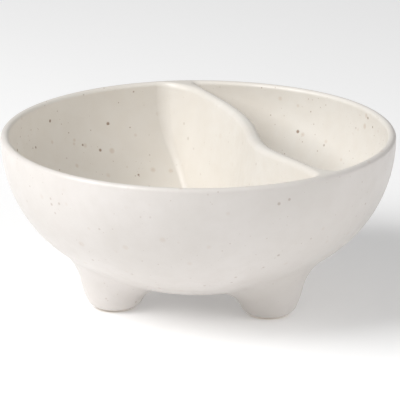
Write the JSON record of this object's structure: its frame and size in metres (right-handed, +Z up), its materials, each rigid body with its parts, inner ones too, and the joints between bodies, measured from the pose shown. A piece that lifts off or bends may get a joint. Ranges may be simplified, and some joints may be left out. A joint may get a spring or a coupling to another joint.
{
  "type": "chip and dip server",
  "caption": "Round footed stoneware serving bowl with a wavy divider that makes a large side for chips and a small side for dip.",
  "frame": {"origin": "on the table, under the bowl's axis", "axes": "+Z up, +X from the bowl's axis towards the small dip side, +Y along the divider"},
  "size_m": [0.23, 0.23, 0.1006],
  "materials": {
    "bowl_glaze": "satin cream glaze with brown iron speckles",
    "divider_glaze": "satin cream glaze, nearly free of speckles",
    "foot_glaze": "satin cream glaze, bare clay on the contact pad"
  },
  "bodies": {
    "root": {"bowl": "bowl_glaze", "divider": "divider_glaze", "foot_chip_side": "foot_glaze", "foot_dip_front": "foot_glaze", "foot_dip_back": "foot_glaze"}
  },
  "joints": []
}
